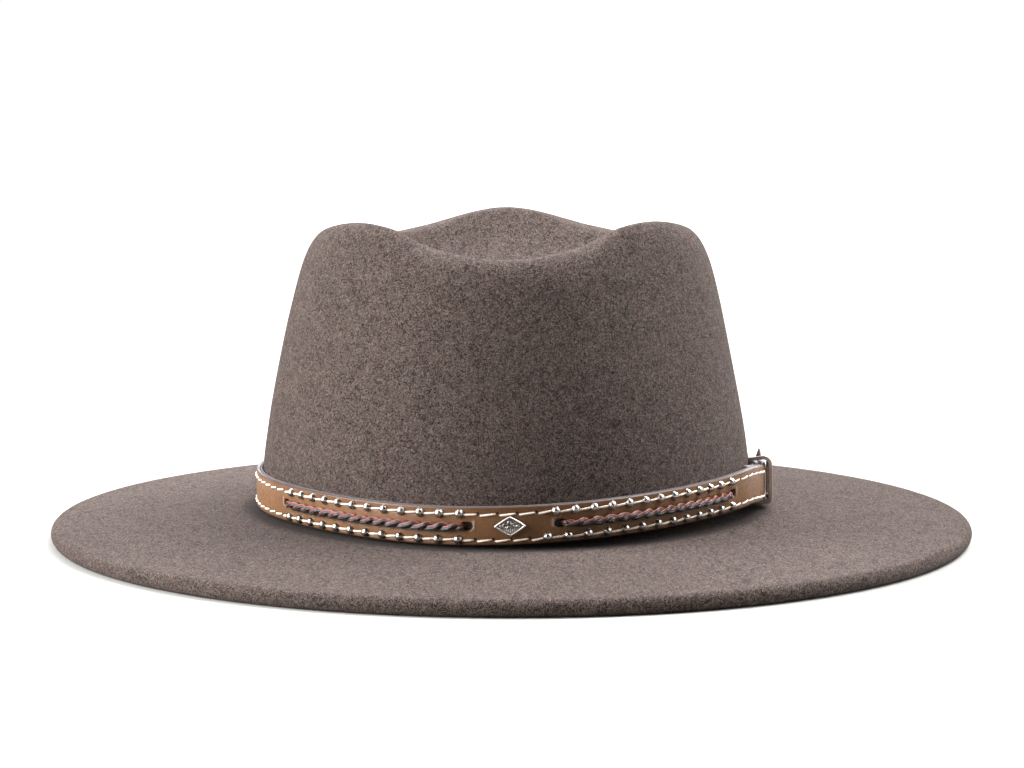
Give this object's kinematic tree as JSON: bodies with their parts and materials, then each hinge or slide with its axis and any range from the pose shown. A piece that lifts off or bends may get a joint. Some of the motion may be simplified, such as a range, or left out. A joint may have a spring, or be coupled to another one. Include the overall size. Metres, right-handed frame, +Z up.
{
  "type": "felt hat",
  "caption": "Wide-brimmed felt hat with a dented crown and a turned-under brim edge, with a stitched leather band that carries studs, braided lacing, a diamond concho and a buckle.",
  "frame": {"origin": "Centre of the footprint, on the plane that the brim's edge rests on.", "axes": "+Z up through the crown, -Y towards the front of the hat, +X towards the wearer's left."},
  "size_m": [0.3256, 0.359, 0.1145],
  "materials": {
    "felt": "matte felt with fine mixed fibres",
    "strap_leather": "satin, light wear",
    "silver_metal": "polished with dark recesses",
    "stud_metal": "polished",
    "lace_leather": "satin, two colours"
  },
  "bodies": {
    "root": {"felt_body": "felt", "band_strap": "strap_leather", "buckle": "silver_metal", "keeper_loop": "strap_leather", "concho": "silver_metal", "lace_left": "lace_leather", "lace_right": "lace_leather", "stud_upper_left_1": "stud_metal", "stud_upper_left_2": "stud_metal", "stud_upper_left_3": "stud_metal", "stud_upper_left_4": "stud_metal", "stud_upper_left_5": "stud_metal", "stud_upper_left_6": "stud_metal", "stud_upper_left_7": "stud_metal", "stud_upper_left_8": "stud_metal", "stud_upper_left_9": "stud_metal", "stud_upper_left_10": "stud_metal", "stud_upper_left_11": "stud_metal", "stud_upper_left_12": "stud_metal", "stud_lower_left_1": "stud_metal", "stud_lower_left_2": "stud_metal", "stud_lower_left_3": "stud_metal", "stud_lower_left_4": "stud_metal", "stud_lower_left_5": "stud_metal", "stud_lower_left_6": "stud_metal", "stud_lower_left_7": "stud_metal", "stud_lower_left_8": "stud_metal", "stud_lower_left_9": "stud_metal", "stud_lower_left_10": "stud_metal", "stud_lower_left_11": "stud_metal", "stud_lower_left_12": "stud_metal", "stud_upper_right_1": "stud_metal", "stud_upper_right_2": "stud_metal", "stud_upper_right_3": "stud_metal", "stud_upper_right_4": "stud_metal", "stud_upper_right_5": "stud_metal", "stud_upper_right_6": "stud_metal", "stud_upper_right_7": "stud_metal", "stud_upper_right_8": "stud_metal", "stud_upper_right_9": "stud_metal", "stud_upper_right_10": "stud_metal", "stud_upper_right_11": "stud_metal", "stud_upper_right_12": "stud_metal", "stud_upper_right_13": "stud_metal", "stud_lower_right_1": "stud_metal", "stud_lower_right_2": "stud_metal", "stud_lower_right_3": "stud_metal", "stud_lower_right_4": "stud_metal", "stud_lower_right_5": "stud_metal", "stud_lower_right_6": "stud_metal", "stud_lower_right_7": "stud_metal", "stud_lower_right_8": "stud_metal", "stud_lower_right_9": "stud_metal", "stud_lower_right_10": "stud_metal", "stud_lower_right_11": "stud_metal", "stud_lower_right_12": "stud_metal", "stud_lower_right_13": "stud_metal"}
  },
  "joints": []
}
